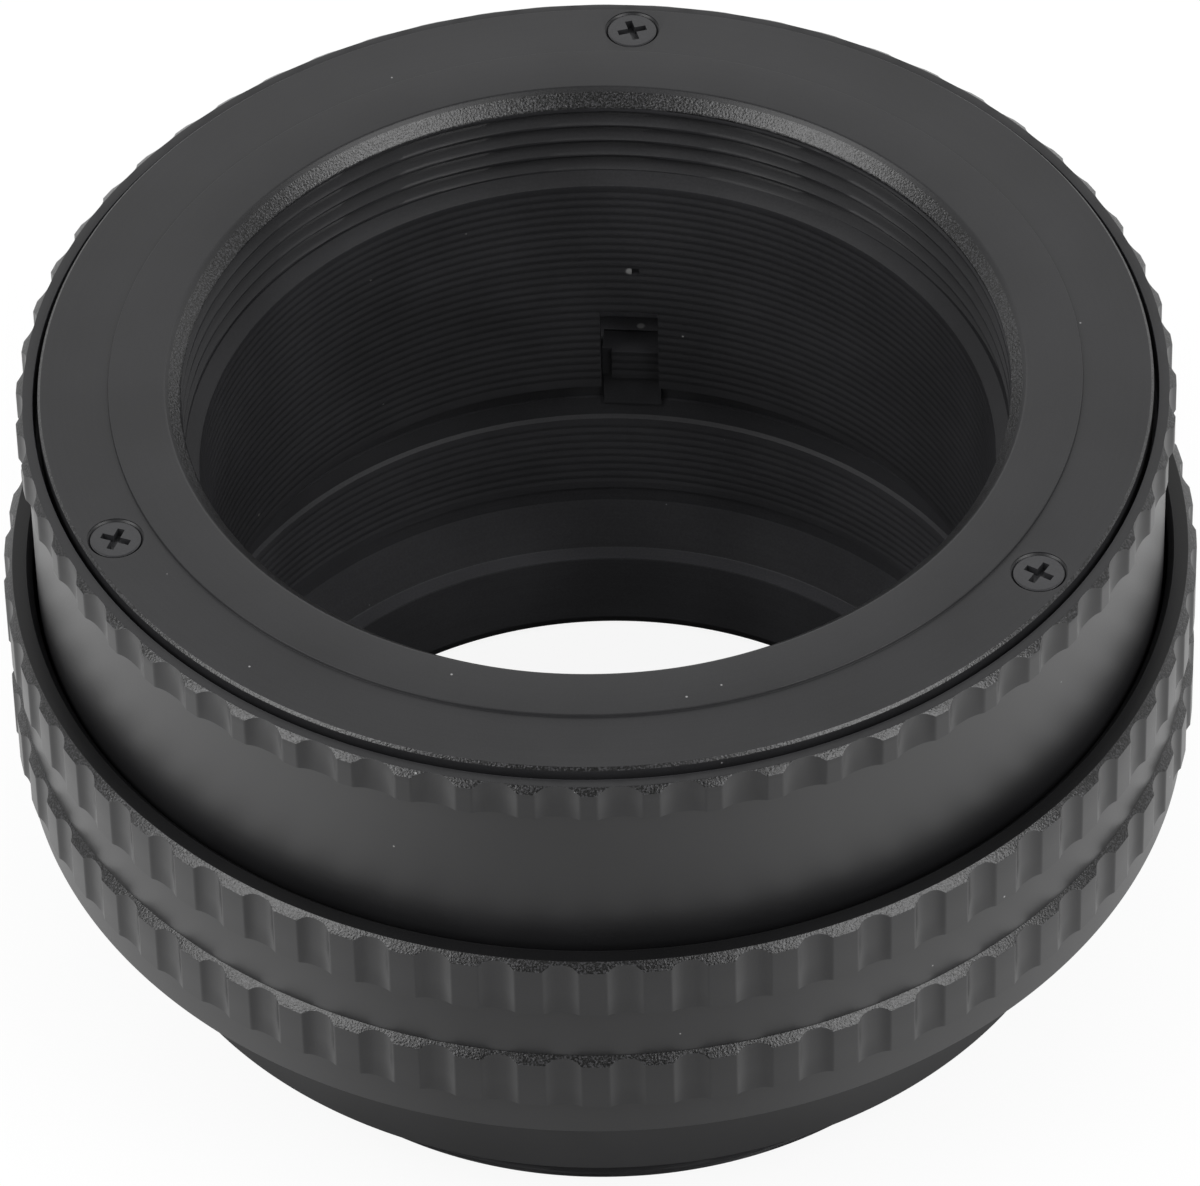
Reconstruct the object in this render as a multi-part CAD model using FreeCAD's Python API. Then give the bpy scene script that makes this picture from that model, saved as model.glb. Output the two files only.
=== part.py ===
import FreeCAD
import Part
import math
import os

# Focusing helicoid adapter: a base with a male lens-mount thread, a focus ring that climbs on the base as it
# turns, and a front barrel that slides out of the ring and carries a plate with the female thread.
# Millimetres. The axis is Z, z = 0 is the end of the male thread, +Z points to the lens side.
# The pieces stand at full extension.

AXIS_Z = FreeCAD.Vector(0, 0, 1)
ORIGIN = FreeCAD.Vector(0, 0, 0)

# Lens-mount thread, 42 mm by 1 mm, the same at both ends
thread_major_r = 21.0
thread_depth = 0.54
spigot_length = 5.0
spigot_wall = 2.0
spigot_chamfer = 0.45

# Travel of the front barrel from full extension to closed, and the gap left at every end stop
front_travel = 11.2
end_gap = 0.3

# Inner tube and the bore it slides in
tube_ledge_width = 0.71
tube_wall = 1.1
guide_clearance = 0.2
bore_step = 0.2
bore_step_height = 8.5
ledge_rise = -0.3
ledge_corner = 0.6

# Base barrel, helicoid sleeve and front skirt, from the axis outwards
base_wall = 1.8
collar_step = 1.7
collar_chamfer = 0.25
helix_clearance = 0.07
sleeve_wall = 3.18
skirt_wall = 1.83
sleeve_chamfer = 0.4

# Lower focus ring: floor, band, scalloped row and the spigot that centres the upper ring
ring_lift = 7.68
ring_floor = 2.65
ring_collar_gap = 0.3
ring_skirt_gap = 0.2
ring_edge = 0.3
sleeve_seat_depth = 0.8
sleeve_seat_clearance = 0.05
lower_band_height = 2.47
lower_row_height = 2.8
shoulder_rise = 0.4
shoulder_chamfer = 0.45
joint_lip_wall = 0.4
joint_lip_height = 1.0
joint_clearance = 0.05

# Upper focus ring: band and scalloped row
ring_wall = 1.45
row_proud = 0.42
upper_edge = 0.15
upper_band_height = 3.25
upper_row_height = 2.9
top_rise = 0.4
top_chamfer = 0.45
top_lip = 0.3

# Front barrel rim
front_reach = 8.85
front_land_wall = 0.42
front_row_height = 1.59
rim_chamfer_height = 0.29
rim_chamfer_width = 0.36
rim_width = 0.51
recess_depth = 1.7
web_thickness = 2.2
tube_flange = 1.0
flange_wall = 0.65

# Scallops of the three gripping rows
flute_count = 60
flute_start_deg = 0.5
flute_cutter_sides = 12
ring_flute_cutter_r = 1.1
ring_flute_depth = 0.3
front_flute_cutter_r = 1.8
front_flute_depth = 0.34
flute_overrun = 0.3

# Mount plate
plate_rise = 0.6
plate_gap = 0.25
register_width = 2.75
register_step = 0.15
mouth_width = 0.25
hub_wall = 1.0
hub_clearance = 0.1
hub_length = 5.0
plate_edge = 0.3

# Plate screws
screw_count = 3
screw_start_deg = 90.0
screw_inset = 1.65
screw_head_r = 1.27
screw_shank_r = 0.8
screw_length = 3.9
screw_sink = 0.06
screw_gap = 0.12
cross_length = 1.5
cross_width = 0.34
cross_depth = 0.5

# Guide key, its pocket in the base barrel, its way in the tube and its screws
key_width = 3.0
key_height = 4.2
key_root = 0.95
key_tip = 0.65
key_side_clearance = 0.15
key_tip_clearance = 0.2
key_drop = 0.1
window_height = 3.4
key_screw_head_r = 0.95
key_screw_land = 0.1
key_screw_shank_r = 0.55
key_screw_depth = 1.2
key_screw_sink = 0.1
key_screw_gap = 0.03
key_screw_slot_width = 0.3
key_screw_slot_depth = 0.25

# Radii from the axis outwards
thread_minor_r = thread_major_r - thread_depth
spigot_bore_r = thread_major_r - spigot_wall
tube_bore_r = thread_minor_r - tube_ledge_width
tube_r = tube_bore_r + tube_wall
base_bore_r = tube_r + guide_clearance
base_top_bore_r = base_bore_r + bore_step
base_r = base_top_bore_r + base_wall
collar_r = base_r + collar_step
sleeve_bore_r = base_r + helix_clearance
sleeve_r = sleeve_bore_r + sleeve_wall
skirt_bore_r = sleeve_r + helix_clearance
skirt_r = skirt_bore_r + skirt_wall
front_land_r = skirt_r + front_land_wall
ring_floor_bore_r = collar_r + ring_collar_gap
ring_bore_r = skirt_r + ring_skirt_gap
land_r = ring_bore_r + ring_wall
band_r = land_r - row_proud
lip_r = ring_bore_r + joint_lip_wall
hub_r = thread_major_r + hub_wall
web_bore_r = hub_r + hub_clearance
flange_r = web_bore_r + flange_wall
recess_r = front_land_r - rim_chamfer_width - rim_width
plate_r = recess_r - plate_gap
mouth_r = thread_major_r + mouth_width
register_r = mouth_r + register_width
screw_circle_r = plate_r - screw_inset

# Heights from the end of the male thread upwards, at full extension
ring_travel = front_travel / 2
flange_z = spigot_length
ledge_z = flange_z + ledge_rise
ring_bottom_z = flange_z + ring_lift
ring_floor_z = ring_bottom_z + ring_floor
sleeve_bottom_z = ring_floor_z - sleeve_seat_depth
collar_top_z = sleeve_bottom_z - ring_travel - end_gap
lower_row_z = ring_bottom_z + lower_band_height
lower_land_z = lower_row_z + lower_row_height
shoulder_z = lower_land_z + shoulder_rise
lip_z = shoulder_z + joint_lip_height
upper_row_z = shoulder_z + upper_band_height
upper_land_z = upper_row_z + upper_row_height
ring_top_z = upper_land_z + top_rise
front_row_z = ring_top_z + front_reach
rim_chamfer_z = front_row_z + front_row_height
rim_z = rim_chamfer_z + rim_chamfer_height
plate_z = rim_z + plate_rise
recess_z = rim_z - recess_depth
web_z = recess_z - web_thickness
hub_end_z = plate_z - hub_length
flange_under_z = hub_end_z - tube_flange
base_top_z = flange_under_z - front_travel - end_gap
sleeve_top_z = web_z - ring_travel - end_gap
skirt_end_z = ring_floor_z + ring_travel + end_gap
tube_end_z = ledge_z + ledge_corner + front_travel + end_gap
plate_face_z = plate_z - register_step
key_top_z = base_top_z - key_drop
key_mid_z = key_top_z - key_height / 2
key_face_r = base_bore_r - key_tip
key_back_r = base_bore_r + key_root


def turned(profile):
    """Solid of revolution about Z from a closed list of (radius, height) corners."""
    corners = [FreeCAD.Vector(r, 0, z) for r, z in profile]
    outline = Part.makePolygon(corners + corners[:1])
    return Part.Face(outline).revolve(ORIGIN, AXIS_Z, 360)


def around(shape, angle_deg):
    """Copy of a shape turned about the axis."""
    copy = shape.copy()
    copy.rotate(ORIGIN, AXIS_Z, angle_deg)
    return copy


def radial_block(r_in, r_out, width, z_low, z_high):
    """Block on the +X side that reaches from one radius to another."""
    corner = FreeCAD.Vector(r_in, -width / 2, z_low)
    return Part.makeBox(r_out - r_in, width, z_high - z_low, corner)


def scalloped(body, floor_r, cutter_r, z_low, z_high):
    """Cut a ring of axial scallops, each of a few flats, that run out of both ends of a raised row."""
    half_side = math.pi / flute_cutter_sides
    corner_r = cutter_r / math.cos(half_side)
    corners = []
    for i in range(flute_cutter_sides):
        angle = half_side * (2 * i + 1)
        x = floor_r + cutter_r + corner_r * math.cos(angle)
        corners.append(FreeCAD.Vector(x, corner_r * math.sin(angle), z_low - flute_overrun))
    section = Part.Face(Part.makePolygon(corners + corners[:1]))
    cutter = section.extrude(AXIS_Z * (z_high - z_low + 2 * flute_overrun))
    pitch = 360 / flute_count
    return body.cut([around(cutter, flute_start_deg + i * pitch) for i in range(flute_count)])


def screw_angles():
    return [screw_start_deg + i * 360 / screw_count for i in range(screw_count)]


def base_barrel():
    """Male thread spigot, collar and the barrel that the sleeve climbs on."""
    step_z = flange_z + bore_step_height
    body = turned([
        (spigot_bore_r, 0), (thread_major_r - spigot_chamfer, 0), (thread_major_r, spigot_chamfer),
        (thread_major_r, flange_z), (collar_r - collar_chamfer, flange_z),
        (collar_r, flange_z + collar_chamfer), (collar_r, collar_top_z), (base_r, collar_top_z),
        (base_r, base_top_z), (base_top_bore_r, base_top_z), (base_top_bore_r, step_z),
        (base_bore_r, step_z - bore_step), (base_bore_r, ledge_z + ledge_corner),
        (base_bore_r - ledge_corner, ledge_z), (spigot_bore_r, ledge_z)])
    pocket = radial_block(tube_bore_r, key_back_r, key_width, key_top_z - key_height, base_top_z)
    body = body.cut(around(pocket, screw_start_deg))
    for hole in key_screw_places(key_screw_body(key_screw_gap, 2 * key_screw_sink)):
        body = body.cut(hole)
    return body


def guide_key():
    """Key in the base barrel that keeps the front barrel from turning."""
    blank = radial_block(key_face_r, key_back_r, key_width, key_top_z - key_height, key_top_z)
    blank = around(blank, screw_start_deg)
    for hole in key_screw_places(key_screw_body(key_screw_gap, 2 * key_screw_sink)):
        blank = blank.cut(hole)
    return blank


def key_screw_body(grow, rise):
    """Countersunk screw with its head at z = 0 and its tip up, or its hole, grown and raised."""
    head_r = key_screw_head_r + grow
    shank_r = key_screw_shank_r + grow
    cone_z = key_screw_land + head_r - shank_r
    tip_z = cone_z + key_screw_depth + grow
    return turned([
        (0, -rise), (head_r, -rise), (head_r, key_screw_land), (shank_r, cone_z), (shank_r, tip_z),
        (0, tip_z)])


def key_screw_places(shape):
    """Two copies of a screw or a hole, sunk into the base barrel from outside and pointing at the key."""
    laid = shape.copy()
    laid.rotate(ORIGIN, FreeCAD.Vector(0, 1, 0), -90)
    copies = []
    for offset in (-key_height / 4, key_height / 4):
        placed = laid.copy()
        placed.translate(FreeCAD.Vector(base_r - key_screw_sink, 0, key_mid_z + offset))
        copies.append(around(placed, screw_start_deg))
    return copies


def helicoid_sleeve():
    """Sleeve that climbs the base barrel inside and drives the front barrel outside."""
    return turned([
        (sleeve_bore_r, sleeve_bottom_z), (sleeve_r, sleeve_bottom_z),
        (sleeve_r, sleeve_top_z - sleeve_chamfer), (sleeve_r - sleeve_chamfer, sleeve_top_z),
        (sleeve_bore_r + sleeve_chamfer, sleeve_top_z), (sleeve_bore_r, sleeve_top_z - sleeve_chamfer)])


def lower_focus_ring():
    """Ring with a scalloped row, a floor that seats the sleeve and a spigot for the upper ring."""
    seat_r = sleeve_r + sleeve_seat_clearance
    body = turned([
        (ring_floor_bore_r, ring_bottom_z), (band_r - ring_edge, ring_bottom_z),
        (band_r, ring_bottom_z + ring_edge), (band_r, lower_row_z), (land_r, lower_row_z),
        (land_r, lower_land_z), (land_r - shoulder_chamfer, shoulder_z), (lip_r, shoulder_z),
        (lip_r, lip_z), (ring_bore_r, lip_z),
        (ring_bore_r, ring_floor_z), (seat_r, ring_floor_z), (seat_r, sleeve_bottom_z),
        (ring_floor_bore_r, sleeve_bottom_z)])
    floor_r = land_r - ring_flute_depth
    return scalloped(body, floor_r, ring_flute_cutter_r, lower_row_z, shoulder_z)


def upper_focus_ring():
    """Ring with a scalloped row and a smooth band, centred on the spigot of the lower ring."""
    socket_r = lip_r + joint_clearance
    socket_z = lip_z + joint_clearance
    body = turned([
        (socket_r, shoulder_z), (band_r - upper_edge, shoulder_z), (band_r, shoulder_z + upper_edge),
        (band_r, upper_row_z), (land_r, upper_row_z), (land_r, upper_land_z),
        (land_r - top_chamfer, ring_top_z), (ring_bore_r + top_lip, ring_top_z),
        (ring_bore_r, ring_top_z - top_lip), (ring_bore_r, socket_z), (socket_r, socket_z)])
    floor_r = land_r - ring_flute_depth
    return scalloped(body, floor_r, ring_flute_cutter_r, upper_row_z, ring_top_z)


def front_barrel():
    """Scalloped rim, smooth skirt, web and inner tube with its key way and window."""
    chamfer_r = front_land_r - rim_chamfer_width
    body = turned([
        (tube_bore_r, tube_end_z), (tube_bore_r, hub_end_z), (web_bore_r, hub_end_z),
        (web_bore_r, recess_z), (recess_r, recess_z), (recess_r, rim_z), (chamfer_r, rim_z),
        (front_land_r, rim_chamfer_z), (front_land_r, front_row_z), (skirt_r, front_row_z),
        (skirt_r, skirt_end_z), (skirt_bore_r, skirt_end_z), (skirt_bore_r, web_z), (flange_r, web_z),
        (flange_r, flange_under_z), (tube_r, flange_under_z), (tube_r, tube_end_z)])
    floor_r = front_land_r - front_flute_depth
    body = scalloped(body, floor_r, front_flute_cutter_r, front_row_z, rim_z)
    way_width = key_width + 2 * key_side_clearance
    way_floor_r = key_face_r - key_tip_clearance
    window_z = key_top_z + window_height
    way = radial_block(way_floor_r, base_r, way_width, tube_end_z - end_gap, flange_under_z)
    window = radial_block(spigot_bore_r, base_r, key_width, tube_end_z - end_gap, window_z)
    body = body.cut([around(way, screw_start_deg), around(window, screw_start_deg)])
    tap = Part.makeCylinder(screw_shank_r, web_thickness, FreeCAD.Vector(screw_circle_r, 0, web_z), AXIS_Z)
    return body.cut([around(tap, angle) for angle in screw_angles()])


def mount_plate():
    """Front plate with a raised register, a chamfered mouth and the hub of the female thread."""
    mouth_depth = mouth_r - thread_minor_r
    body = turned([
        (thread_minor_r, hub_end_z), (hub_r, hub_end_z), (hub_r, recess_z), (plate_r, recess_z),
        (plate_r, plate_face_z - plate_edge), (plate_r - plate_edge, plate_face_z),
        (register_r, plate_face_z), (register_r, plate_z), (mouth_r, plate_z),
        (thread_minor_r, plate_z - mouth_depth)])
    return body.cut([around(screw_hole(), angle) for angle in screw_angles()])


def screw_hole():
    """Countersunk clearance hole, on the +X side."""
    head_r = screw_head_r + screw_gap
    shank_r = screw_shank_r + screw_gap
    cone_z = plate_face_z - screw_sink
    hole = turned([
        (0, recess_z), (shank_r, recess_z), (shank_r, cone_z - head_r + shank_r), (head_r, cone_z),
        (head_r, plate_z), (0, plate_z)])
    hole.translate(FreeCAD.Vector(screw_circle_r, 0, 0))
    return hole


def plate_screws():
    """Countersunk screws with a cross recess, flush with the plate."""
    top_z = plate_face_z - screw_sink
    cone_z = top_z - screw_head_r + screw_shank_r
    screw = turned([
        (0, top_z - screw_length), (screw_shank_r, top_z - screw_length), (screw_shank_r, cone_z),
        (screw_head_r, top_z), (0, top_z)])
    for size_x, size_y in ((cross_length, cross_width), (cross_width, cross_length)):
        corner = FreeCAD.Vector(-size_x / 2, -size_y / 2, top_z - cross_depth)
        screw = screw.cut(Part.makeBox(size_x, size_y, cross_depth, corner))
    screw.rotate(ORIGIN, AXIS_Z, 45)
    screw.translate(FreeCAD.Vector(screw_circle_r, 0, 0))
    return Part.makeCompound([around(screw, angle) for angle in screw_angles()])


def key_screws():
    """Slotted countersunk screws that hold the key, hidden under the sleeve."""
    slot_size = (2 * key_screw_head_r, key_screw_slot_width, key_screw_slot_depth)
    corner = FreeCAD.Vector(-key_screw_head_r, -key_screw_slot_width / 2, 0)
    screw = key_screw_body(0, 0).cut(Part.makeBox(*slot_size, corner))
    return Part.makeCompound(key_screw_places(screw))


PIECES = (base_barrel, guide_key, key_screws, helicoid_sleeve, lower_focus_ring, upper_focus_ring,
          front_barrel, mount_plate, plate_screws)

os.makedirs("parts", exist_ok=True)
for piece in PIECES:
    piece().exportStep("parts/" + piece.__name__ + ".step")
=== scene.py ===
import math

import bmesh
import bpy
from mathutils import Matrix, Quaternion, Vector


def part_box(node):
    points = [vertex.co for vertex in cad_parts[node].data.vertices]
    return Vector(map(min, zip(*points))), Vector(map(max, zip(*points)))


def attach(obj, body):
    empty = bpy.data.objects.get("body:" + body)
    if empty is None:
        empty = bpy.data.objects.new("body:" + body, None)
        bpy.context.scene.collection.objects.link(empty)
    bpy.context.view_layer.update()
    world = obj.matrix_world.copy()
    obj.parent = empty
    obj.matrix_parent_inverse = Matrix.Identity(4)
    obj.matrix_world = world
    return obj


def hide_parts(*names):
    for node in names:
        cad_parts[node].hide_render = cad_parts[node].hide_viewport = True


# Focusing helicoid adapter in black anodised metal: turned pieces with rounded edges, scalloped grips,
# cut threads and cross-recess screws, on a white ground. Sizes below are in millimetres.
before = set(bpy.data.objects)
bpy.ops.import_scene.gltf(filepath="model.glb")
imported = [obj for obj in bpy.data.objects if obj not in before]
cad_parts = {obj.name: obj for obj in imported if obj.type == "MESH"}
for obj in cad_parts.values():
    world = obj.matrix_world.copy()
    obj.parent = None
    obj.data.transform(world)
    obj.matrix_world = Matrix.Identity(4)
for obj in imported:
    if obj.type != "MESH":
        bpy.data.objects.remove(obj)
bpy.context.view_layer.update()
MM = 0.001


def extent(node):
    """Outer radius, lowest and highest level of a turned node of the model, in millimetres."""
    low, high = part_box(node)
    return high[0] / MM, low[2] / MM, high[2] / MM


LOWER_Z, LIP_Z = extent("lower_focus_ring")[1:]
UPPER_Z, SHOULDER_Z = extent("upper_focus_ring")[1:]
TUBE_END_Z, RIM_Z = extent("front_barrel")[1:]
PLATE_R, HUB_END_Z, REGISTER_Z = extent("mount_plate")
COLLAR_R, BASE_END_Z, BASE_TOP_Z = extent("base_barrel")

RING_BORE_R = 28.4
RING_WALL = 1.45
ROW_PROUD = 0.42
RING_LAND_R = RING_BORE_R + RING_WALL
BAND_R = RING_LAND_R - ROW_PROUD
BARREL_R = 28.2
FRONT_LAND_R = BARREL_R + ROW_PROUD
SKIRT_BORE_R = 26.37
SKIRT_END_Z = 21.23
RECESS_Z = RIM_Z - 1.7
WEB_UNDER_Z = HUB_END_Z + 0.5
PLATE_Z = REGISTER_Z - 0.15
HUB_R = 22.0
WEB_BORE_R = HUB_R + 0.1
THREAD_PITCH = 1.0
THREAD_MINOR_R = 20.46
THREAD_MAJOR_R = 21.0
THREAD_DEPTH = THREAD_MAJOR_R - THREAD_MINOR_R
THREAD_STEP = THREAD_PITCH / 16
MOUTH_R = 21.25
SCREW_CIRCLE_R = 25.85
SCREW_DEGS = (90.0, 210.0, 330.0)
SCREW_CROSS_DEGS = (19.5, -16.5, -27.5)
SCREW_TOP_Z = 36.02
SCREW_HEAD_R = 1.27
SCREW_SHANK_R = 0.8
KEY_HALF = 1.5
NICK_Z = TUBE_END_Z + 8.08
AROUND = 288


class Wire:
    """A value in a finish's node tree; arithmetic on it adds Math nodes."""

    def __init__(self, finish, socket):
        self.finish = finish
        self.socket = socket

    def joined(self, operation, first, second):
        return self.finish.add("ShaderNodeMath", {"operation": operation}, {0: first, 1: second})

    def __add__(self, other):
        return self.joined("ADD", self, other)

    def __radd__(self, other):
        return self.joined("ADD", other, self)

    def __sub__(self, other):
        return self.joined("SUBTRACT", self, other)

    def __rsub__(self, other):
        return self.joined("SUBTRACT", other, self)

    def __mul__(self, other):
        return self.joined("MULTIPLY", self, other)

    def __rmul__(self, other):
        return self.joined("MULTIPLY", other, self)

    def __pow__(self, other):
        return self.joined("POWER", self, other)

    def larger(self, other):
        return self.joined("MAXIMUM", self, other)

    def above(self, low, high):
        """0 below low, 1 above high, smooth between."""
        sockets = {"Value": self, "From Min": low, "From Max": high}
        return self.finish.add("ShaderNodeMapRange", {"interpolation_type": "SMOOTHSTEP"}, sockets)


class Finish:
    """A node tree under construction, of a material or of the world."""

    def __init__(self, owner):
        self.owner = owner
        owner.use_nodes = True
        self.tree = owner.node_tree
        self.tree.nodes.clear()

    def add(self, kind, settings, sockets, output=0):
        """One node from its type, its settings and its sockets' values or links; gives one output."""
        node = self.tree.nodes.new(kind)
        for key, value in settings.items():
            setattr(node, key, value)
        for key, value in sockets.items():
            if isinstance(value, Wire):
                self.tree.links.new(value.socket, node.inputs[key])
            else:
                node.inputs[key].default_value = value
        return Wire(self, node.outputs[output]) if node.outputs else node

    def mix_colour(self, share, first, second):
        return self.add("ShaderNodeMix", {"data_type": "RGBA"}, {0: share, 6: first, 7: second}, 2)

    def place(self):
        return self.add("ShaderNodeTexCoord", {}, {}, "Object")

    def part_of(self, vector, axis):
        return self.add("ShaderNodeSeparateXYZ", {}, {"Vector": vector}, axis)

    def noise(self, vector, size_mm, detail=2.0):
        sockets = {"Vector": vector, "Scale": 1 / (size_mm * MM), "Detail": detail}
        return self.add("ShaderNodeTexNoise", {}, sockets, "Fac")

    def specks(self, vector, apart_mm, radius_mm):
        """1 on scattered round specks, 0 between them."""
        sockets = {"Vector": vector, "Scale": 1 / (apart_mm * MM)}
        away = self.add("ShaderNodeTexVoronoi", {}, sockets, "Distance")
        return 1 - away.above(0.6 * radius_mm / apart_mm, radius_mm / apart_mm)

    def turning(self, place):
        """Place as (radius, height), so that a texture on it runs round the axis."""
        x = self.part_of(place, "X")
        y = self.part_of(place, "Y")
        radius = (x * x + y * y) ** 0.5
        height = self.part_of(place, "Z")
        return self.add("ShaderNodeCombineXYZ", {}, {"X": radius, "Y": height})

    def light_path(self, kind):
        return self.add("ShaderNodeLightPath", {}, {}, kind)


def grey(value, blue=1.08):
    return (value, value, value * blue, 1.0)


DUST = grey(0.2, 1.0)
DUST_APART_MM = 3.2
DUST_R_MM = 0.07
LINE_MM = 0.12
BLOTCH_MM = 7.0
GLINT_MM = 0.10
SPOT_CORE_MM = 0.12
SPOT_EDGE_MM = 0.26
ROUGHNESS_SPREAD = 0.06


def black_metal(name, tone, roughness, grain_mm, grain_depth_mm, line_depth_mm=0.0, ior=1.5, spot=None,
                spot_grey=0.0, glint_grey=0.0):
    """Black anodised metal: blotches, fine grain, turning lines, painted glints, dust and a small light
    spot.
    """
    finish = Finish(bpy.data.materials.new(name))
    place = finish.place()
    blotch = finish.noise(place, BLOTCH_MM, 3.0)
    grain = finish.noise(place, grain_mm, 2.0)
    lines = finish.noise(finish.turning(place), LINE_MM, 1.0)
    shade = (blotch * 0.5 + grain * 0.35 + lines * 0.15).above(0.25, 0.75)
    metal = finish.mix_colour(shade, grey(tone * 0.7), grey(tone * 1.3))
    # Painted glints: light grains mixed into the colour in place of the glints of a blasted surface
    if glint_grey:
        glint_grains = finish.noise(place, GLINT_MM, 0.0).above(0.5, 0.62)
        metal = finish.mix_colour(glint_grains, metal, grey(glint_grey))
    colour = finish.mix_colour(finish.specks(place, DUST_APART_MM, DUST_R_MM), metal, DUST)
    # A small light spot mixed into the colour round a given point
    if spot:
        ends = {0: place, 1: Vector(spot) * MM}
        away = finish.add("ShaderNodeVectorMath", {"operation": "DISTANCE"}, ends, "Value")
        around = away.above(SPOT_CORE_MM * MM, SPOT_EDGE_MM * MM)
        colour = finish.mix_colour(around, grey(spot_grey, 1.0), colour)
    rough = roughness - ROUGHNESS_SPREAD + blotch * ROUGHNESS_SPREAD + grain * ROUGHNESS_SPREAD
    height = grain * (grain_depth_mm * MM) + lines * (line_depth_mm * MM)
    bump = finish.add("ShaderNodeBump", {}, {"Strength": 1.0, "Distance": 1.0, "Height": height})
    sockets = {"Base Color": colour, "Roughness": rough, "Normal": bump, "IOR": ior}
    shader = finish.add("ShaderNodeBsdfPrincipled", {}, sockets)
    finish.add("ShaderNodeOutputMaterial", {}, {"Surface": shader})
    return finish.owner


# Small light spots: by the nick in the tube, and on the barrel's end seen in the key window
NICK_SPOT = (0.1, 19.8, NICK_Z)
END_SPOT = (0.4, 22.35, BASE_TOP_Z)
SATIN = black_metal("satin_black", 0.008, 0.36, 0.10, 0.0012, 0.0006, 1.55)
NECK = black_metal("neck_black", 0.010, 0.40, 0.10, 0.0012, 0.0006, 1.5)
PLATE = black_metal("plate_black", 0.013, 0.40, 0.10, 0.0014, 0.0006, 1.47)
GRIP = black_metal("grip_black", 0.008, 0.34, 0.10, 0.0014, 0.0, 1.55)
# The blasted finish carries painted glints in its colour
BLASTED = black_metal("blasted_black", 0.001, 0.31, 0.11, 0.026, ior=1.62, glint_grey=0.022)
TOP = black_metal("ring_top_black", 0.005, 0.38, 0.10, 0.003, 0.001, 1.4)
BORE = black_metal("bore_black", 0.035, 0.52, 0.12, 0.002, 0.0008, 1.3)
TUBE = black_metal("tube_black", 0.020, 0.52, 0.12, 0.002, 0.0008, 1.3, NICK_SPOT, 0.14)
# Painted light: a lighter copy of the tube finish for level faces of the key and the base, which lie in
# shade
GUIDE_PAINTED_LIGHT = black_metal("guide_painted_light", 0.028, 0.52, 0.12, 0.002, 0.0008, 1.3)
LEDGE = black_metal("ledge_black", 0.018, 0.45, 0.12, 0.002, 0.0008, 1.28)
# Painted light: the base's inner floor is made a lighter grey, as if lit from above
INNER_FLOOR_PAINTED_LIGHT = black_metal("inner_floor_painted_light", 0.06, 0.45, 0.12, 0.002, 0.0008, 1.35)
THREAD = black_metal("thread_black", 0.018, 0.46, 0.10, 0.002, 0.0, 1.35)
SCREW = black_metal("screw_black", 0.022, 0.34, 0.12, 0.006, 0.001)
# Painted light: the sleeve, which gets light only through the key window, is made a light grey
SLEEVE_PAINTED_LIGHT = black_metal("inner_painted_light_grey", 0.16, 0.50, 0.12, 0.001, 0.0015)
# Painted light: the base barrel's end, in shade under the key window, is made a lighter grey
BARREL_END_PAINTED_LIGHT = black_metal("barrel_end_painted_light", 0.085, 0.50, 0.12, 0.001, 0.0015, 1.5, END_SPOT, 0.36)

LARGEST_REACH = 0.45


def rounded(corners, steps=3):
    """Points of a closed section whose (radius, height, rounding, finish) corners are rounded off."""
    points = []
    for i, (r, z, rounding, finish) in enumerate(corners):
        here = Vector((r, z))
        if not rounding:
            points.append((r, z, finish))
            continue
        back = Vector(corners[i - 1][:2]) - here
        ahead = Vector(corners[(i + 1) % len(corners)][:2]) - here
        half = back.angle(ahead) / 2
        reach = min(rounding / math.tan(half), LARGEST_REACH * back.length, LARGEST_REACH * ahead.length)
        first = here + back.normalized() * reach
        last = here + ahead.normalized() * reach
        for k in range(steps + 1):
            t = k / steps
            p = first * (1 - t) ** 2 + here * (2 * t * (1 - t)) + last * t ** 2
            points.append((p.x, p.y, finish))
    return points


def turned_mesh(name, section_at, degs):
    """Closed mesh of the sections that section_at gives at each angle round the axis."""
    sections = [section_at(d) for d in degs]
    rows = len(sections[0])
    vertices = []
    for deg, section in zip(degs, sections):
        c, s = math.cos(math.radians(deg)) * MM, math.sin(math.radians(deg)) * MM
        vertices += [(r * c, r * s, z * MM) for r, z, finish in section]
    faces = []
    for j in range(len(degs)):
        k = (j + 1) % len(degs)
        for i in range(rows):
            m = (i + 1) % rows
            faces.append((j * rows + i, k * rows + i, k * rows + m, j * rows + m))
    mesh = bpy.data.meshes.new(name)
    mesh.from_pydata(vertices, [], faces)
    mesh.polygons.foreach_set("material_index", [finish for r, z, finish in sections[0]] * len(degs))
    return mesh


def solid_turned(name, section, count):
    """Closed turned mesh without a bore, from a section whose first and last points lie on the axis."""
    mesh = turned_mesh(name, lambda deg: section, evenly(count))
    shape = bmesh.new()
    shape.from_mesh(mesh)
    bmesh.ops.remove_doubles(shape, verts=shape.verts, dist=0.001 * MM)
    shape.to_mesh(mesh)
    shape.free()
    return mesh


def extruded(name, outline, half):
    """Closed mesh of a (y, z) outline carried across x, half to each side."""
    count = len(outline)
    vertices = [(x * MM, y * MM, z * MM) for x in (-half, half) for y, z in outline]
    faces = [tuple(range(count)), tuple(reversed(range(count, 2 * count)))]
    for i in range(count):
        k = (i + 1) % count
        faces.append((i, count + i, count + k, k))
    mesh = bpy.data.meshes.new(name)
    mesh.from_pydata(vertices, [], faces)
    return mesh


SHARP_DEG = 38


def smoothed(mesh):
    mesh.polygons.foreach_set("use_smooth", [True] * len(mesh.polygons))
    mesh.set_sharp_from_angle(angle=math.radians(SHARP_DEG))
    mesh.update()


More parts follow.
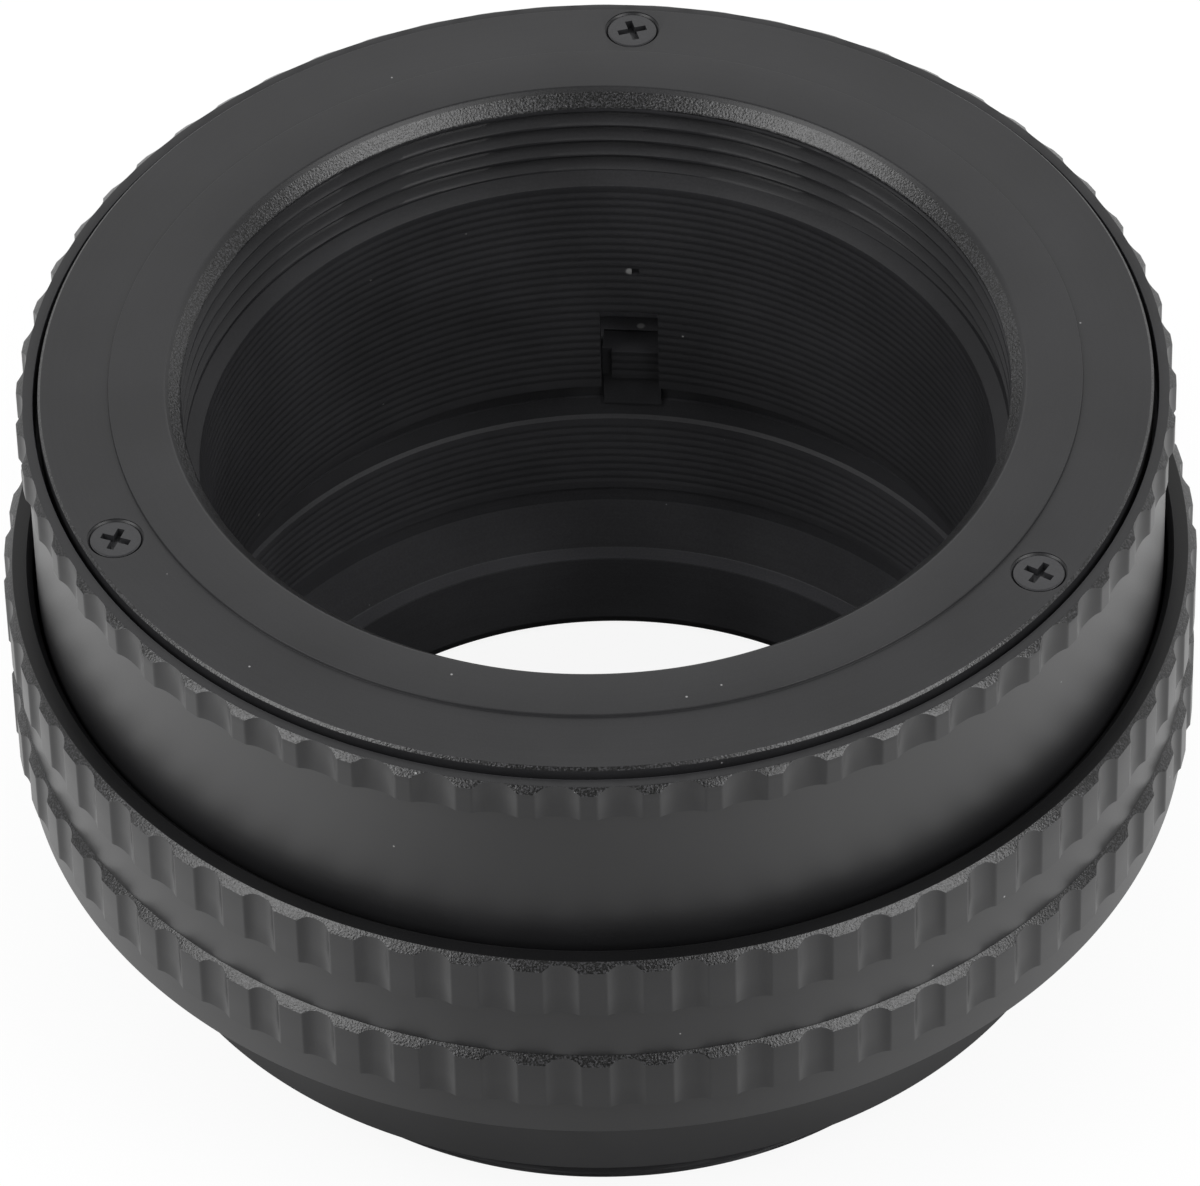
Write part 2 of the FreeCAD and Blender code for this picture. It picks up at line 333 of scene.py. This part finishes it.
def piece(mesh, body, node, slot, *finishes):
    """Object of a mesh that rides on a body and stands for a node of the model."""
    for finish in finishes:
        mesh.materials.append(finish)
    obj = bpy.data.objects.new(mesh.name, mesh)
    bpy.context.scene.collection.objects.link(obj)
    smoothed(mesh)
    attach(obj, body)
    if node:
        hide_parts(node)
    return obj


def cut_from(obj, cutter_mesh):
    """Cut a closed mesh out of a piece."""
    cutter = bpy.data.objects.new("cutter", cutter_mesh)
    bpy.context.scene.collection.objects.link(cutter)
    cut = obj.modifiers.new("cut", "BOOLEAN")
    cut.object = cutter
    cut.operation = "DIFFERENCE"
    cut.solver = "EXACT"
    view = bpy.context.evaluated_depsgraph_get()
    mesh = bpy.data.meshes.new_from_object(obj.evaluated_get(view))
    obj.modifiers.clear()
    mesh.name = obj.data.name
    obj.data = mesh
    bpy.data.objects.remove(cutter)
    smoothed(mesh)


def evenly(count):
    return [i * 360 / count for i in range(count)]


def heights(z_from, z_to, step):
    count = round(abs(z_to - z_from) / step)
    return [z_from + (z_to - z_from) * i / count for i in range(count + 1)]


class Grip:
    """A row of scallops: the radius of its lands, and each scallop's depth, half width and fullness."""

    COUNT = 60
    START_DEG = 0.5
    EDGE = 0.035
    FOOT_SHARE = 0.6
    FOOT_RISE = 1.2
    FOOT_STEPS = (0.0, 0.25, 0.5, 0.75, 1.0)
    SHARES = (0.25, 0.48, 0.68, 0.84, 0.94, 1.02, 1.1)

    def __init__(self, land_r, depth, half_width, fullness):
        self.land_r = land_r
        self.depth = depth
        self.half_width = half_width
        self.fullness = fullness
        self.pitch = 360 / self.COUNT

    def degs(self):
        """Angles round the row, close together at the edges of the scallops."""
        half = math.degrees(self.half_width / self.land_r)
        out = [share * half for share in self.SHARES]
        offsets = [-o for o in reversed(out)] + [0.0] + out + [self.pitch / 2]
        return [self.START_DEG + i * self.pitch + o for i in range(self.COUNT) for o in offsets]

    def run_out(self, deg, z):
        """Section corners where a scallop gets softly shallower towards the row's lower edge."""
        depth = self.land_r - self.r(deg)
        corners = []
        for t in self.FOOT_STEPS:
            share = self.FOOT_SHARE + (1 - self.FOOT_SHARE) * t * (2 - t)
            corners.append((self.land_r - share * depth, z + self.FOOT_RISE * t, 0, 0))
        return corners

    def r(self, deg):
        """Radius at an angle, with softened edges."""
        offset = (deg - self.START_DEG + self.pitch / 2) % self.pitch - self.pitch / 2
        across = abs(self.land_r * math.radians(offset)) / self.half_width
        cut_r = self.land_r - self.depth * (1 - across ** self.fullness)
        share = min(max(0.5 + 0.5 * (cut_r - self.land_r) / self.EDGE, 0.0), 1.0)
        return cut_r * (1 - share) + self.land_r * share - self.EDGE * share * (1 - share)


RING_GRIP = Grip(RING_LAND_R, 0.30, 0.88, 2.8)
FRONT_GRIP = Grip(FRONT_LAND_R, 0.38, 1.08, 2.6)
CHAMFER = 0.45
CHAMFER_RISE = 0.4
RIM_CHAMFER = 0.36
RIM_CHAMFER_RISE = 0.29
RIM_WIDTH = 0.51
ROOT_FLAT = 0.25
FLANK = 0.625


def thread_wave(deg, z, pitch):
    """0 at a thread's root and 1 at its crest, with flats on both."""
    phase = (z / pitch - deg / 360) % 1.0
    tri = abs(2 * phase - 1)
    return min(max((tri - ROOT_FLAT) / FLANK, 0.0), 1.0)


# Lower focus ring: inset band, raised scalloped row, blasted shoulder and the upper ring's centring lip
LOWER_ROW_Z = LOWER_Z + 2.47
LOWER_ROW_TOP_Z = LOWER_ROW_Z + 2.8
LIP_R = RING_BORE_R + 0.4
FLANGE_R = 25.05
FLANGE_TOP_Z = LOWER_Z + 1.85
SEAT_R = 26.35
SEAT_Z = LOWER_Z + 2.65
BAND_EDGE = 0.3


def lower_ring_section(deg):
    grip = RING_GRIP.r(deg)
    chamfer_z = LOWER_ROW_TOP_Z + (RING_LAND_R - grip) * CHAMFER_RISE / CHAMFER
    top_z = LOWER_ROW_TOP_Z + CHAMFER_RISE
    return rounded([
        (FLANGE_R, LOWER_Z, 0.12, 0), (BAND_R - BAND_EDGE, LOWER_Z, 0.06, 0),
        (BAND_R, LOWER_Z + BAND_EDGE, 0.06, 0),
        (BAND_R, LOWER_ROW_Z, 0, 0), *RING_GRIP.run_out(deg, LOWER_ROW_Z), (grip, chamfer_z, 0.03, 1),
        (RING_LAND_R - CHAMFER, top_z, 0.04, 2), (LIP_R, top_z, 0, 0), (LIP_R, LIP_Z, 0.1, 0),
        (RING_BORE_R, LIP_Z, 0.1, 0), (RING_BORE_R, SEAT_Z, 0, 0), (SEAT_R, SEAT_Z, 0.1, 0),
        (SEAT_R, FLANGE_TOP_Z, 0, 0), (FLANGE_R, FLANGE_TOP_Z, 0.1, 0)])


# Upper focus ring: inset band, raised scalloped row and blasted shoulder
UPPER_ROW_Z = UPPER_Z + 3.25
UPPER_ROW_TOP_Z = SHOULDER_Z - CHAMFER_RISE
SOCKET_R = LIP_R + 0.05
SOCKET_Z = LIP_Z + 0.05
BORE_EDGE = 0.3


def upper_ring_section(deg):
    grip = RING_GRIP.r(deg)
    chamfer_z = UPPER_ROW_TOP_Z + (RING_LAND_R - grip) * CHAMFER_RISE / CHAMFER
    return rounded([
        (SOCKET_R, UPPER_Z, 0.03, 0), (BAND_R, UPPER_Z, 0.04, 0),
        (BAND_R, UPPER_ROW_Z, 0, 0), *RING_GRIP.run_out(deg, UPPER_ROW_Z), (grip, chamfer_z, 0.03, 1),
        (RING_LAND_R - CHAMFER, SHOULDER_Z, 0.04, 2), (RING_BORE_R + BORE_EDGE, SHOULDER_Z, 0.06, 0),
        (RING_BORE_R, SHOULDER_Z - BORE_EDGE, 0.06, 0), (RING_BORE_R, SOCKET_Z, 0.03, 0),
        (SOCKET_R, SOCKET_Z, 0.03, 0)])


# Front barrel: scalloped rim with a blasted edge, smooth skirt and web
FRONT_ROW_Z = 33.75
FRONT_ROW_TOP_Z = RIM_Z - RIM_CHAMFER_RISE
RECESS_R = FRONT_LAND_R - RIM_CHAMFER - RIM_WIDTH


def front_section(deg):
    grip = FRONT_GRIP.r(deg)
    chamfer_z = FRONT_ROW_TOP_Z + (FRONT_LAND_R - grip) * RIM_CHAMFER_RISE / RIM_CHAMFER
    return rounded([
        (SKIRT_BORE_R, SKIRT_END_Z, 0.1, 0), (BARREL_R, SKIRT_END_Z, 0.1, 0),
        (BARREL_R, FRONT_ROW_Z, 0.02, 0),
        *FRONT_GRIP.run_out(deg, FRONT_ROW_Z), (grip, chamfer_z, 0.03, 1),
        (FRONT_LAND_R - RIM_CHAMFER, RIM_Z, 0.04, 3),
        (RECESS_R, RIM_Z, 0.05, 2), (RECESS_R, RECESS_Z, 0.1, 2), (WEB_BORE_R, RECESS_Z, 0, 2),
        (WEB_BORE_R, WEB_UNDER_Z, 0, 2), (SKIRT_BORE_R, WEB_UNDER_Z, 0.1, 2)])


# Inner tube of the front barrel, grooved against stray light, with a sloping ledge under the thread
TUBE_BORE_R = 19.75
TUBE_R = 20.85
TUBE_FLANGE_R = 22.75
TUBE_FLANGE_Z = HUB_END_Z - 1.0
GROOVE_PITCH = 0.52
GROOVE_DEPTH = 0.04
GROOVE_STEP = GROOVE_PITCH / 8
LEDGE_DROP = 0.45
LEAD_IN = 0.75
LEAD_IN_RISE = 1.3
GROOVES_TOP_Z = HUB_END_Z - 0.8
GROOVES_END_Z = TUBE_END_Z + 0.4


def grooved(deg, r, z_from, z_to, finish):
    """Wall points with a fine groove running round them."""
    return [(r + GROOVE_DEPTH * thread_wave(deg, z, GROOVE_PITCH), z, finish)
            for z in heights(z_from, z_to, GROOVE_STEP)]


def tube_section(deg):
    outside = rounded([
        (TUBE_BORE_R, TUBE_END_Z, 0, 0), (TUBE_R - LEAD_IN, TUBE_END_Z, 0.05, 0),
        (TUBE_R, TUBE_END_Z + LEAD_IN_RISE, 0.1, 0), (TUBE_R, TUBE_FLANGE_Z, 0, 0),
        (TUBE_FLANGE_R, TUBE_FLANGE_Z, 0, 0), (TUBE_FLANGE_R, WEB_UNDER_Z, 0, 0),
        (WEB_BORE_R, WEB_UNDER_Z, 0, 0), (WEB_BORE_R, HUB_END_Z, 0, 1),
        (THREAD_MINOR_R, HUB_END_Z, 0.03, 1),
        (TUBE_BORE_R, HUB_END_Z - LEDGE_DROP, 0.06, 0)])
    return outside + grooved(deg, TUBE_BORE_R, GROOVES_TOP_Z, GROOVES_END_Z, 0)


# Mount plate with its raised register, blasted mouth and cut thread
PLATE_CHAMFER = 0.14
REGISTER_R = 24.0
REGISTER_FLARE = 0.035
MOUTH_EDGE = 0.2
MOUTH_WALL_Z = REGISTER_Z - 0.25
MOUTH_END_Z = REGISTER_Z - 0.79
RUN_IN = 0.3


def plate_section(deg):
    outside = rounded([
        (HUB_R, HUB_END_Z, 0, 1), (HUB_R, RECESS_Z, 0, 0), (PLATE_R, RECESS_Z, 0, 0),
        (PLATE_R, PLATE_Z - PLATE_CHAMFER, 0.03, 2), (PLATE_R - PLATE_CHAMFER, PLATE_Z, 0.03, 0),
        (REGISTER_R + REGISTER_FLARE, PLATE_Z, 0.02, 0), (REGISTER_R, REGISTER_Z, 0.05, 0),
        (MOUTH_R, REGISTER_Z, MOUTH_EDGE, 0), (MOUTH_R - MOUTH_EDGE, REGISTER_Z - MOUTH_EDGE, 0, 2)], 5)
    wall = []
    for z in heights(MOUTH_WALL_Z, HUB_END_Z, THREAD_STEP):
        cut = THREAD_DEPTH * min(max((MOUTH_END_Z - z) / RUN_IN, 0.0), 1.0)
        groove = THREAD_MINOR_R + cut * (1 - thread_wave(deg, z, THREAD_PITCH))
        wall.append((max(groove, MOUTH_R - (REGISTER_Z - z)), z, 2 if z > MOUTH_END_Z else 1))
    return outside + wall


# Base: male thread, collar and the barrel that the sleeve climbs on, with a stepped, partly grooved bore
SPIGOT_Z = 5.0
SPIGOT_BORE_R = 19.0
SPIGOT_LEAD_R = 20.55
COLLAR_TOP_Z = 8.63
COLLAR_EDGE = 0.25
CLIMB_R = 23.05
KEY_BORE_R = 21.25
GUIDE_R = KEY_BORE_R + 0.15
GUIDE_Z = 14.62
STEP_R = 21.05
STEP_Z = 13.3
STEP_RISE = 0.15
RELIEF_R = STEP_R + 0.15
RELIEF_Z = 8.36
RELIEF_END_Z = 7.3
FLOOR_R = 19.9
FLOOR_Z = 5.05


def base_section(deg):
    thread = []
    for z in heights(BASE_END_Z, SPIGOT_Z, THREAD_STEP):
        crest = THREAD_MAJOR_R - THREAD_DEPTH * (1 - thread_wave(deg, z, THREAD_PITCH))
        thread.append((min(crest, SPIGOT_LEAD_R + z), z, 1))
    upper = rounded([
        (THREAD_MAJOR_R, SPIGOT_Z, 0, 0), (COLLAR_R - COLLAR_EDGE, SPIGOT_Z, 0.06, 0),
        (COLLAR_R, SPIGOT_Z + COLLAR_EDGE, 0.06, 0),
        (COLLAR_R, COLLAR_TOP_Z, 0.1, 0), (CLIMB_R, COLLAR_TOP_Z, 0, 0), (CLIMB_R, BASE_TOP_Z, 0.1, 4),
        (GUIDE_R, BASE_TOP_Z, 0.1, 5), (GUIDE_R, GUIDE_Z + 0.02, 0, 2), (KEY_BORE_R, GUIDE_Z, 0, 5),
        (KEY_BORE_R, STEP_Z + STEP_RISE, 0.02, 2), (STEP_R, STEP_Z, 0.03, 2)])
    lower = rounded([
        (STEP_R, RELIEF_Z, 0.02, 2), (RELIEF_R, RELIEF_Z - 0.1, 0, 2), (RELIEF_R, RELIEF_END_Z, 0.05, 2),
        (FLOOR_R, FLOOR_Z, 0.05, 3), (SPIGOT_BORE_R, FLOOR_Z, 0.06, 2),
        (SPIGOT_BORE_R, BASE_END_Z, 0.1, 0)])
    return thread + upper[1:] + grooved(deg, STEP_R, STEP_Z - 0.4, RELIEF_Z + 0.3, 2) + lower


def box_mesh(name, low, high):
    """Closed box between two corners."""
    xs, ys, zs = zip(low, high)
    corners = [(x * MM, y * MM, z * MM) for z in zs for y in ys for x in xs]
    mesh = bpy.data.meshes.new(name)
    faces = [(0, 2, 3, 1), (4, 5, 7, 6), (0, 1, 5, 4), (2, 6, 7, 3), (0, 4, 6, 2), (1, 3, 7, 5)]
    mesh.from_pydata(corners, [], faces)
    return mesh


def moved(mesh, offset, turn_deg=0.0):
    """Turn a mesh about its own axis and shift it, in millimetres."""
    turn = Quaternion((0, 0, 1), math.radians(turn_deg)).to_matrix().to_4x4()
    mesh.transform(turn)
    for vertex in mesh.vertices:
        vertex.co += Vector(offset) * MM
    return mesh


def screw_place(deg):
    a = math.radians(deg)
    return (SCREW_CIRCLE_R * math.cos(a), SCREW_CIRCLE_R * math.sin(a), 0.0)


# Turned pieces, with the key's window and way in the tube, the plate's screw holes and the base's key pocket
piece(
    turned_mesh("lower_grip_ring", lower_ring_section, RING_GRIP.degs()),
    "ring", "lower_focus_ring", "lower_ring_black", GRIP, BLASTED, TOP)
piece(
    turned_mesh("upper_grip_ring", upper_ring_section, RING_GRIP.degs()),
    "ring", "upper_focus_ring", "upper_ring_black", GRIP, BLASTED, TOP)
piece(
    turned_mesh("front_skirt", front_section, FRONT_GRIP.degs()),
    "front", "front_barrel", "front_black", SATIN, BLASTED, BORE, PLATE)
tube = piece(
    turned_mesh("front_tube", tube_section, evenly(AROUND)),
    "front", None, "front_black", TUBE, LEDGE)
CUT_IN_Y, CUT_OUT_Y = 19.0, 23.0
CUT_LOW_Z = TUBE_END_Z - 1
WINDOW_TOP_Z = TUBE_END_Z + 5.23
cut_from(tube, box_mesh("window", (-KEY_HALF, CUT_IN_Y, CUT_LOW_Z), (KEY_HALF, CUT_OUT_Y, WINDOW_TOP_Z)))
WAY_HALF = KEY_HALF + 0.05
WAY_FLOOR_Y = 20.2
WAY_TOP_Z = TUBE_FLANGE_Z - 0.02
cut_from(tube, box_mesh("way", (-WAY_HALF, WAY_FLOOR_Y, CUT_LOW_Z), (WAY_HALF, CUT_OUT_Y, WAY_TOP_Z)))
cut_from(tube, box_mesh("nick", (0.2, 19.5, NICK_Z - 0.2), (0.6, 20.0, NICK_Z + 0.2)))
plate = piece(
    turned_mesh("threaded_plate", plate_section, evenly(AROUND)),
    "front", "mount_plate", "plate_black", PLATE, THREAD, BLASTED)
SCREW_GAP = 0.12
SCREW_AROUND = 48
HOLE_R = SCREW_SHANK_R + SCREW_GAP
SINK_R = SCREW_HEAD_R + SCREW_GAP
SINK_Z = SCREW_TOP_Z - 0.47
for deg in SCREW_DEGS:
    hole = solid_turned("hole", [
        (0, RECESS_Z - 1, 0), (HOLE_R, RECESS_Z - 1, 0), (HOLE_R, SINK_Z, 0), (SINK_R, SCREW_TOP_Z, 0),
        (SINK_R, REGISTER_Z + 1, 0), (0, REGISTER_Z + 1, 0)], SCREW_AROUND)
    cut_from(plate, moved(hole, screw_place(deg)))
base = piece(
    turned_mesh("threaded_base", base_section, evenly(AROUND)),
    "base", "base_barrel", "base_black", NECK, THREAD, BORE, INNER_FLOOR_PAINTED_LIGHT, BARREL_END_PAINTED_LIGHT, GUIDE_PAINTED_LIGHT)
KEY_LOW_Z = BASE_TOP_Z - 4.3
KEY_TOP_Z = BASE_TOP_Z - 0.1
KEY_BACK_Y = 22.0
KEY_FACE_Y = 20.4
KEY_FOOT_Y = 21.0
pocket = box_mesh("pocket", (-KEY_HALF, TUBE_BORE_R, KEY_LOW_Z), (KEY_HALF, KEY_BACK_Y, BASE_TOP_Z + 1))
cut_from(base, pocket)

# Guide key: grooved on its face like the tube, set back below the tube's end and relieved on one side
face = [(y, z) for y, z, finish in grooved(90.0, KEY_FACE_Y, KEY_TOP_Z - 0.15, TUBE_END_Z + 0.15, 0)]
foot = [(KEY_FACE_Y, TUBE_END_Z), (KEY_FOOT_Y, TUBE_END_Z), (KEY_FOOT_Y, KEY_LOW_Z)]
key_outline = [(KEY_BACK_Y, KEY_LOW_Z), (KEY_BACK_Y, KEY_TOP_Z), (KEY_FACE_Y, KEY_TOP_Z)] + face + foot
key_mesh = extruded("grooved_key", key_outline, KEY_HALF)
# Painted light: the key's level faces and its foot get the lighter guide copy, and its grooved face gets the
# tube finish
for polygon in key_mesh.polygons:
    level = abs(polygon.normal.z) > 0.9
    polygon.material_index = 1 if level or polygon.center.z < TUBE_END_Z * MM else 0
key = piece(key_mesh, "base", "guide_key", "key_black", TUBE, GUIDE_PAINTED_LIGHT)
KEY_RELIEF_WIDTH = 0.5
KEY_RELIEF_DEPTH = 0.25
relief_low = (-KEY_HALF - 1, KEY_FACE_Y - 1, KEY_LOW_Z - 1)
relief_high = (KEY_RELIEF_WIDTH - KEY_HALF, KEY_FACE_Y + KEY_RELIEF_DEPTH, KEY_TOP_Z + 1)
cut_from(key, box_mesh("relief", relief_low, relief_high))

# Three screws with cross recesses, each left at its own turn
CROSS_HALF = 0.74
CROSS_ARM_HALF = 0.18
CROSS_DEPTH = 0.45
SHANK_END_Z = RECESS_Z - 1.8
screws = []
for deg, cross_deg in zip(SCREW_DEGS, SCREW_CROSS_DEGS):
    outline = rounded([
        (0, SHANK_END_Z, 0, 0), (SCREW_SHANK_R, SHANK_END_Z, 0.1, 0), (SCREW_SHANK_R, SINK_Z, 0, 0),
        (SCREW_HEAD_R, SCREW_TOP_Z - 0.04, 0.05, 0), (SCREW_HEAD_R - 0.1, SCREW_TOP_Z, 0.05, 0),
        (0, SCREW_TOP_Z, 0, 0)])
    screw = bpy.data.objects.new("screw", solid_turned("screw", outline, SCREW_AROUND))
    bpy.context.scene.collection.objects.link(screw)
    for turn in (cross_deg, cross_deg + 90):
        arm = box_mesh("arm", (-CROSS_HALF, -CROSS_ARM_HALF, -CROSS_DEPTH), (CROSS_HALF, CROSS_ARM_HALF, 1))
        cut_from(screw, moved(arm, (0, 0, SCREW_TOP_Z), turn))
    screws.append(moved(screw.data, screw_place(deg)))
    bpy.data.objects.remove(screw)
joined = bmesh.new()
for mesh in screws:
    joined.from_mesh(mesh)
cross_screws = bpy.data.meshes.new("cross_screws")
joined.to_mesh(cross_screws)
joined.free()
piece(cross_screws, "front", "plate_screws", "plate_screw_steel", SCREW)

# The sleeve gets the painted-light grey, and the key screws get the screw finish
for name, finish in (("key_screws", SCREW), ("helicoid_sleeve", SLEEVE_PAINTED_LIGHT)):
    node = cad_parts[name]
    node.data.materials.clear()
    node.data.materials.append(finish)

# Camera at the photograph's angle
LENS_MM = 300.0
SENSOR_MM = 36.0
VIEW_AZIMUTH, VIEW_ELEVATION, VIEW_ROLL = math.radians(5.25), math.radians(44.13), math.radians(-1.561)
VIEW_DISTANCE = 503.13 * MM
aim = Vector((-0.0613, -0.0056, 20.99)) * MM
back = Vector((
    math.sin(VIEW_AZIMUTH) * math.cos(VIEW_ELEVATION), -math.cos(VIEW_AZIMUTH) * math.cos(VIEW_ELEVATION),
    math.sin(VIEW_ELEVATION)))
camera_data = bpy.data.cameras.new("camera")
camera_data.lens = LENS_MM
camera_data.sensor_width = SENSOR_MM
camera = bpy.data.objects.new("camera", camera_data)
bpy.context.scene.collection.objects.link(camera)
camera.location = aim + back * VIEW_DISTANCE
camera.rotation_mode = "QUATERNION"
camera.rotation_quaternion = (-back).to_track_quat("-Z", "Y") @ Quaternion((0, 0, 1), VIEW_ROLL)
bpy.context.scene.camera = camera

# White ground that keeps a soft shadow; in reflections its glow has a painted shadow under the base and
# painted shade in front
SHADOW_R = 20.0
FRONT_LOSS = 0.43
FRONT_ZONE = (0.75, 1.02)
GLOW_SHARE = 0.9
GROUND_HALF = 2
floor_mesh = bpy.data.meshes.new("floor")
ground_corners = [(GROUND_HALF * i, GROUND_HALF * j, 0) for i, j in ((-1, -1), (1, -1), (1, 1), (-1, 1))]
floor_mesh.from_pydata(ground_corners, [], [(0, 1, 2, 3)])
floor = bpy.data.objects.new("floor", floor_mesh)
bpy.context.scene.collection.objects.link(floor)
ground = Finish(bpy.data.materials.new("white_ground"))
place = ground.place()
x, y = ground.part_of(place, "X"), ground.part_of(place, "Y")
radius = (x * x + y * y) ** 0.5
forward = (0 - y) * radius ** -1.0
lit = radius.above(SHADOW_R * MM, 2 * SHADOW_R * MM) * (1 - FRONT_LOSS * forward.above(*FRONT_ZONE))
seen = ground.light_path("Is Camera Ray") + ground.light_path("Is Transmission Ray")
mirrored = ground.light_path("Is Glossy Ray")
bright = ground.mix_colour(mirrored * (1 - lit), (1, 1, 1, 1), (0, 0, 0, 1))
glow = ground.add("ShaderNodeEmission", {}, {"Color": bright, "Strength": 1.0})
paper = ground.add("ShaderNodeBsdfDiffuse", {}, {"Color": (0.8, 0.8, 0.8, 1)})
surface = ground.add("ShaderNodeMixShader", {}, {0: (seen + mirrored) * GLOW_SHARE, 1: paper, 2: glow})
ground.add("ShaderNodeOutputMaterial", {}, {"Surface": surface})
floor_mesh.materials.append(ground.owner)

# Studio: white near the horizon and behind, dim overhead and in front, with soft boxes at the sides
DIM = 0.08
FILL = 1.0
HORIZON = (0.05, 0.35)
BACK_ZONE = (0.1, 0.55)
OVERHEAD = (0.75, 0.95)
world = bpy.data.worlds.new("studio")
bpy.context.scene.world = world
studio = Finish(world)
sky = studio.add("ShaderNodeTexCoord", {}, {}, "Generated")
upward = studio.part_of(sky, "Z")
low = 1 - upward.above(*HORIZON)
behind = studio.part_of(sky, "Y").above(*BACK_ZONE) * (1 - upward.above(*OVERHEAD))
seen = studio.light_path("Is Camera Ray") + studio.light_path("Is Transmission Ray")
mirrored = studio.light_path("Is Glossy Ray")
level = seen + mirrored * (DIM + (1 - DIM) * low.larger(behind)) + (1 - seen - mirrored) * FILL
surround = studio.add("ShaderNodeBackground", {}, {"Color": (1, 1, 1, 1), "Strength": level})
studio.add("ShaderNodeOutputWorld", {}, {"Surface": surround})

BOX_PLACE = (0.32, -0.186, 0.335)
BOX_SIDE = 0.3
BOX_POWER = 1.2
BOX_AIM = Vector((0, 0, 0.02))


def soft_box(name, place):
    light = bpy.data.lights.new(name, "AREA")
    light.shape = "RECTANGLE"
    light.size = light.size_y = BOX_SIDE
    light.energy = BOX_POWER
    lamp = bpy.data.objects.new(name, light)
    bpy.context.scene.collection.objects.link(lamp)
    lamp.location = Vector(place)
    lamp.rotation_mode = "QUATERNION"
    lamp.rotation_quaternion = (BOX_AIM - lamp.location).to_track_quat("-Z", "Y")


soft_box("left_box", (-BOX_PLACE[0], *BOX_PLACE[1:]))
soft_box("right_box", BOX_PLACE)

bpy.context.scene.view_settings.view_transform = "Standard"
